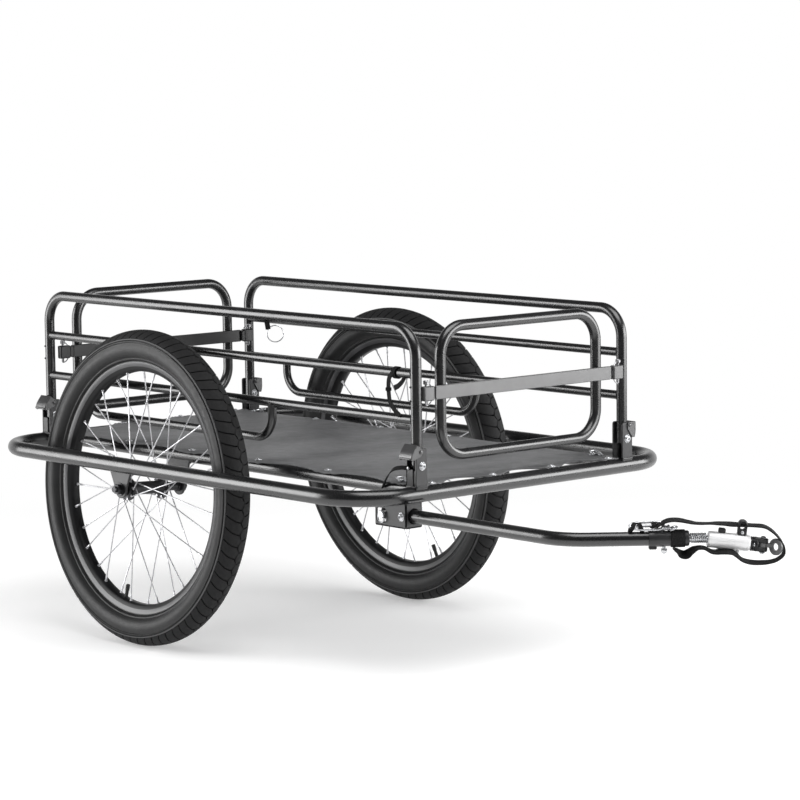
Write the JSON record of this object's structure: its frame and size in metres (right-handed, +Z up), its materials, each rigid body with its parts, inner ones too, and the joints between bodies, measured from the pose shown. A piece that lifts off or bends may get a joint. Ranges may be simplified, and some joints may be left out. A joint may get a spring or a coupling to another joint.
{
  "type": "cargo bike trailer",
  "caption": "Open cargo trailer for a bicycle: tube frame round the wheels, folding side rails, lift-out gates, cloth deck and a bent tow arm with a sprung hitch.",
  "frame": {"origin": "on the ground, under the middle of the whole trailer's box", "axes": "+X forward to the hitch, +Y to the trailer's left, +Z up"},
  "size_m": [1.4992, 0.6942, 0.5589],
  "materials": {
    "tube_paint": "satin black powder coat on round steel tube",
    "plate_paint": "satin black powder coat on pressed steel",
    "bar_paint": "satin dark grey paint",
    "rim_black": "black anodised rim",
    "zinc_steel": "bright zinc-plated steel",
    "barrel_alloy": "satin turned aluminium",
    "tyre_rubber": "black tyre rubber with fine sipes",
    "tube_rubber": "matt black rubber",
    "deck_cloth": "coated dark grey tarpaulin cloth",
    "webbing": "woven black webbing"
  },
  "bodies": {
    "frame": {"outer_loop": "tube_paint", "inner_rail_right": "tube_paint", "inner_rail_left": "tube_paint", "deck_sheet": "deck_cloth", "corner_bracket_front_right": "plate_paint", "hinge_bolt_front_right": "zinc_steel", "corner_bracket_front_left": "plate_paint", "hinge_bolt_front_left": "zinc_steel", "corner_bracket_rear_right": "plate_paint", "hinge_bolt_rear_right": "zinc_steel", "corner_bracket_rear_left": "plate_paint", "hinge_bolt_rear_left": "zinc_steel", "axle_hanger_outer_right": "plate_paint", "axle_hanger_inner_right": "plate_paint", "axle_right": "zinc_steel", "axle_hanger_outer_left": "plate_paint", "axle_hanger_inner_left": "plate_paint", "axle_left": "zinc_steel", "tow_bracket": "plate_paint", "tow_bolt": "zinc_steel", "tow_tube": "tube_paint", "coupler_sleeve": "plate_paint", "coupler_spring": "zinc_steel", "safety_strap": "webbing"},
    "side_right": {"side_hoop_right": "tube_paint", "upper_rail_right": "tube_paint", "lower_rail_right": "tube_paint", "wheel_guard_right": "tube_paint", "gate_clamp_front_right": "plate_paint", "gate_clamp_rear_right": "plate_paint"},
    "side_left": {"side_hoop_left": "tube_paint", "upper_rail_left": "tube_paint", "lower_rail_left": "tube_paint", "wheel_guard_left": "tube_paint", "gate_clamp_front_left": "plate_paint", "gate_clamp_rear_left": "plate_paint"},
    "gate_front": {"gate_loop_front": "tube_paint", "gate_bar_front": "bar_paint"},
    "gate_rear": {"gate_loop_rear": "tube_paint", "gate_bar_rear": "bar_paint"},
    "wheel_right": {"tyre_right": "tyre_rubber", "inner_tube_right": "tube_rubber", "rim_right": "rim_black", "hub_and_spokes_right": "zinc_steel"},
    "wheel_left": {"tyre_left": "tyre_rubber", "inner_tube_left": "tube_rubber", "rim_left": "rim_black", "hub_and_spokes_left": "zinc_steel"},
    "coupler": {"coupler_barrel": "barrel_alloy"},
    "knuckle": {"coupler_knuckle": "plate_paint"},
    "hitch": {"hitch_plate": "bar_paint"},
    "lock_pin": {"tow_lock_pin": "zinc_steel"},
    "pin_front_right": {"clamp_pin_front_right": "zinc_steel"},
    "flap_front_right": {"latch_flap_front_right": "zinc_steel"},
    "pin_rear_right": {"clamp_pin_rear_right": "zinc_steel"},
    "flap_rear_right": {"latch_flap_rear_right": "zinc_steel"},
    "pin_front_left": {"clamp_pin_front_left": "zinc_steel"},
    "flap_front_left": {"latch_flap_front_left": "zinc_steel"},
    "pin_rear_left": {"clamp_pin_rear_left": "zinc_steel"},
    "flap_rear_left": {"latch_flap_rear_left": "zinc_steel"}
  },
  "joints": [
    {"name": "right_wheel_spin", "type": "hinge", "parent": "frame", "child": "wheel_right", "pos_m": [-0.38545, -0.282, 0.25759], "axis": [0, 0.9984, -0.0567], "continuous": true},
    {"name": "left_wheel_spin", "type": "hinge", "parent": "frame", "child": "wheel_left", "pos_m": [-0.38545, 0.282, 0.25759], "axis": [0, 0.9984, 0.0567], "continuous": true},
    {"name": "right_side_fold", "type": "hinge", "parent": "frame", "child": "side_right", "pos_m": [-0.38545, -0.2193, 0.34446], "axis": [-1, 0, 0], "range_deg": [0, 84]},
    {"name": "left_side_fold", "type": "hinge", "parent": "frame", "child": "side_left", "pos_m": [-0.38545, 0.2193, 0.34446], "axis": [1, 0, 0], "range_deg": [0, 84]},
    {"name": "front_gate_removal", "type": "slide", "parent": "frame", "child": "gate_front", "axis": [1, 0, 0], "range_m": [0, 0.36]},
    {"name": "rear_gate_removal", "type": "slide", "parent": "frame", "child": "gate_rear", "axis": [-1, 0, 0], "range_m": [0, 0.36]},
    {"name": "front_right_pin_pull", "type": "slide", "parent": "side_right", "child": "pin_front_right", "axis": [0, 0, 1], "range_m": [0, 0.012], "stiffness_N_per_m": 150},
    {"name": "front_right_latch", "type": "hinge", "parent": "frame", "child": "flap_front_right", "pos_m": [0.21075, -0.2235, 0.36596], "axis": [-1, 0, 0], "range_deg": [-36, 8]},
    {"name": "front_left_pin_pull", "type": "slide", "parent": "side_left", "child": "pin_front_left", "axis": [0, 0, 1], "range_m": [0, 0.012], "stiffness_N_per_m": 150},
    {"name": "front_left_latch", "type": "hinge", "parent": "frame", "child": "flap_front_left", "pos_m": [0.21075, 0.2235, 0.36596], "axis": [1, 0, 0], "range_deg": [0, 44]},
    {"name": "rear_right_pin_pull", "type": "slide", "parent": "side_right", "child": "pin_rear_right", "axis": [0, 0, 1], "range_m": [0, 0.012], "stiffness_N_per_m": 150},
    {"name": "rear_right_latch", "type": "hinge", "parent": "frame", "child": "flap_rear_right", "pos_m": [-0.72975, -0.2235, 0.36596], "axis": [-1, 0, 0], "range_deg": [-36, 8]},
    {"name": "rear_left_pin_pull", "type": "slide", "parent": "side_left", "child": "pin_rear_left", "axis": [0, 0, 1], "range_m": [0, 0.012], "stiffness_N_per_m": 150},
    {"name": "rear_left_latch", "type": "hinge", "parent": "frame", "child": "flap_rear_left", "pos_m": [-0.72975, 0.2235, 0.36596], "axis": [1, 0, 0], "range_deg": [0, 44]},
    {"name": "lock_pin_pull", "type": "slide", "parent": "frame", "child": "lock_pin", "axis": [0, -1, 0], "range_m": [0, 0.045]},
    {"name": "coupler_flex", "type": "hinge", "parent": "frame", "child": "coupler", "pos_m": [0.66097, -0.08772, 0.26996], "axis": [0, 0, 1], "range_deg": [-30, 30], "stiffness_Nm_per_rad": 5, "deforming": ["coupler_spring", "safety_strap"]},
    {"name": "knuckle_roll", "type": "hinge", "parent": "coupler", "child": "knuckle", "pos_m": [0.66097, -0.08772, 0.26996], "axis": [0.638, 0.7603, -0.1219], "range_deg": [-90, 90]},
    {"name": "hitch_swing", "type": "hinge", "parent": "knuckle", "child": "hitch", "pos_m": [0.72037, -0.01692, 0.25861], "axis": [0.0783, 0.0934, 0.9925], "range_deg": [-25, 25]}
  ],
  "couplings": [
    {"joint": "left_side_fold", "follows": "right_side_fold", "ratio": 1},
    {"joint": "front_gate_removal", "follows": "right_side_fold", "m_per_rad": 0.24},
    {"joint": "rear_gate_removal", "follows": "right_side_fold", "m_per_rad": 0.24}
  ]
}
